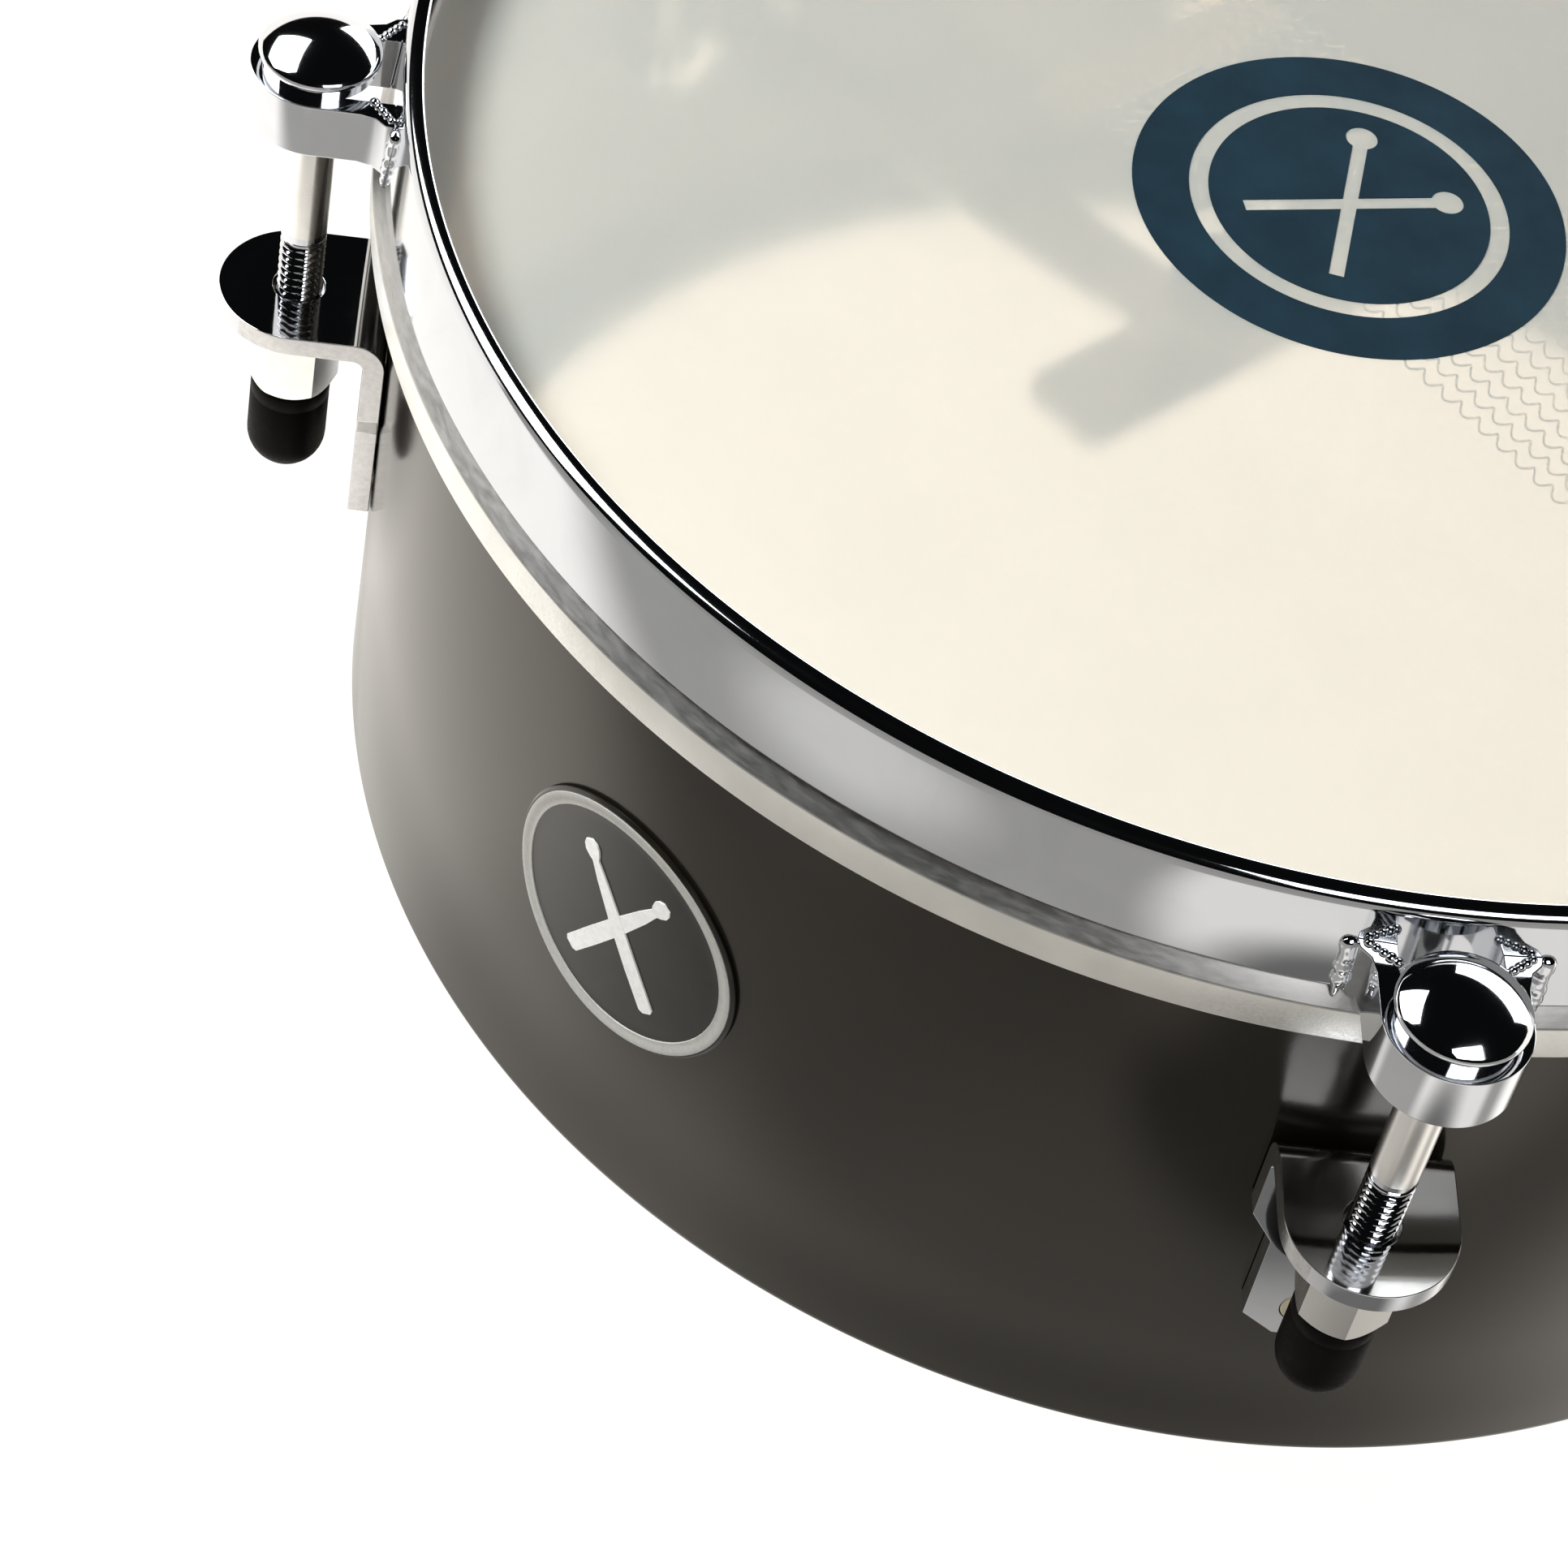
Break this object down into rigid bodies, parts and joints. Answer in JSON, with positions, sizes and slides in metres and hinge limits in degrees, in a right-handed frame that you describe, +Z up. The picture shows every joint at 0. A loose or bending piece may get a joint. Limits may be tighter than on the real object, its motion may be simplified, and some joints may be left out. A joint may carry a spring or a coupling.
{
  "type": "timbale drum",
  "caption": "Small shallow steel timbale with a translucent head, chrome hoop, tension lugs, inner snare strands and a rod clamp.",
  "frame": {"origin": "centre of the shell's bottom rim", "axes": "+Z up along the drum's axis, -Y towards the badge, +Y towards the rod clamp, +X to the right seen from the badge"},
  "size_m": [0.2634, 0.3031, 0.1165],
  "materials": {
    "black_steel": "fine-textured satin powder coat",
    "badge_black": "satin black disc with a light grey ring and a white mark",
    "milky_film": "milky translucent polyester film",
    "navy_ink": "matt ink",
    "satin_aluminium": "satin",
    "chrome": "polished",
    "zinc": "zinc plated",
    "spring_steel": "drawn wire",
    "ribbon": "smooth ribbon",
    "felt": "pressed felt",
    "black_plastic": "moulded",
    "rubber": "matt",
    "brass": "machined"
  },
  "bodies": {
    "shell": {"shell": "black_steel", "badge": "badge_black", "lug_bracket_1": "chrome", "lug_bracket_2": "chrome", "lug_bracket_3": "chrome", "lug_bracket_4": "chrome", "bracket_screws": "zinc", "screw_washers": "zinc", "snare_wires": "spring_steel", "snare_clip_left": "zinc", "snare_clip_right": "zinc", "snare_strap_left": "ribbon", "snare_strap_right": "ribbon", "strap_anchor_left": "zinc", "strap_anchor_right": "zinc", "anchor_screws": "chrome", "snare_arm": "zinc", "snare_crossbar": "zinc", "arm_screws": "chrome", "weld_nut": "zinc", "mount_gasket": "rubber", "mount_plate": "chrome", "clamp_block": "chrome", "mount_screws": "chrome", "mount_nuts": "zinc"},
    "hoop": {"head_film": "milky_film", "head_sticker": "navy_ink", "flesh_hoop": "satin_aluminium", "counter_hoop": "chrome", "hoop_ear_1": "chrome", "hoop_ear_2": "chrome", "hoop_ear_3": "chrome", "hoop_ear_4": "chrome", "tension_rod_1": "chrome", "tension_rod_2": "chrome", "tension_rod_3": "chrome", "tension_rod_4": "chrome"},
    "nut_1": {"hex_nut_1": "chrome", "rubber_tip_1": "rubber"},
    "nut_2": {"hex_nut_2": "chrome", "rubber_tip_2": "rubber"},
    "nut_3": {"hex_nut_3": "chrome", "rubber_tip_3": "rubber"},
    "nut_4": {"hex_nut_4": "chrome", "rubber_tip_4": "rubber"},
    "saddle": {"snare_saddle": "zinc", "saddle_felt": "felt"},
    "lifter": {"lift_screw": "zinc", "lift_knob": "black_plastic"},
    "shoe": {"clamp_shoe": "brass"},
    "wing": {"wing_screw": "chrome"}
  },
  "joints": [
    {"name": "hoop_slide", "type": "slide", "parent": "shell", "child": "hoop", "axis": [0, 0, 1], "range_m": [0, 0.0038]},
    {"name": "nut_1_turn", "type": "hinge", "parent": "shell", "child": "nut_1", "pos_m": [0.09885, 0.09885, 0.06], "axis": [0, 0, 1], "range_deg": [-1080, 0]},
    {"name": "nut_2_turn", "type": "hinge", "parent": "shell", "child": "nut_2", "pos_m": [-0.09885, 0.09885, 0.06], "axis": [0, 0, 1], "range_deg": [-1080, 0]},
    {"name": "nut_3_turn", "type": "hinge", "parent": "shell", "child": "nut_3", "pos_m": [-0.09885, -0.09885, 0.06], "axis": [0, 0, 1], "range_deg": [-1080, 0]},
    {"name": "nut_4_turn", "type": "hinge", "parent": "shell", "child": "nut_4", "pos_m": [0.09885, -0.09885, 0.06], "axis": [0, 0, 1], "range_deg": [-1080, 0]},
    {"name": "saddle_slide", "type": "slide", "parent": "shell", "child": "saddle", "axis": [0, 0, 1], "range_m": [-0.004, 0]},
    {"name": "lift_screw_turn", "type": "hinge", "parent": "saddle", "child": "lifter", "pos_m": [-0.01767, 0.00111, 0.07], "axis": [0, 0, 1], "range_deg": [-1801, 0]},
    {"name": "shoe_slide", "type": "slide", "parent": "shell", "child": "shoe", "axis": [0, 1, 0], "range_m": [0, 0.003]},
    {"name": "wing_screw_turn", "type": "hinge", "parent": "shoe", "child": "wing", "pos_m": [0, 0.15, 0.055], "axis": [0, 1, 0], "range_deg": [0, 866]}
  ],
  "couplings": [
    {"joint": "nut_1_turn", "follows": "hoop_slide", "rad_per_m": -4947.4},
    {"joint": "nut_2_turn", "follows": "hoop_slide", "rad_per_m": -4947.4},
    {"joint": "nut_3_turn", "follows": "hoop_slide", "rad_per_m": -4947.4},
    {"joint": "nut_4_turn", "follows": "hoop_slide", "rad_per_m": -4947.4},
    {"joint": "lift_screw_turn", "follows": "saddle_slide", "rad_per_m": 7854},
    {"joint": "wing_screw_turn", "follows": "shoe_slide", "rad_per_m": 5026.5}
  ]
}
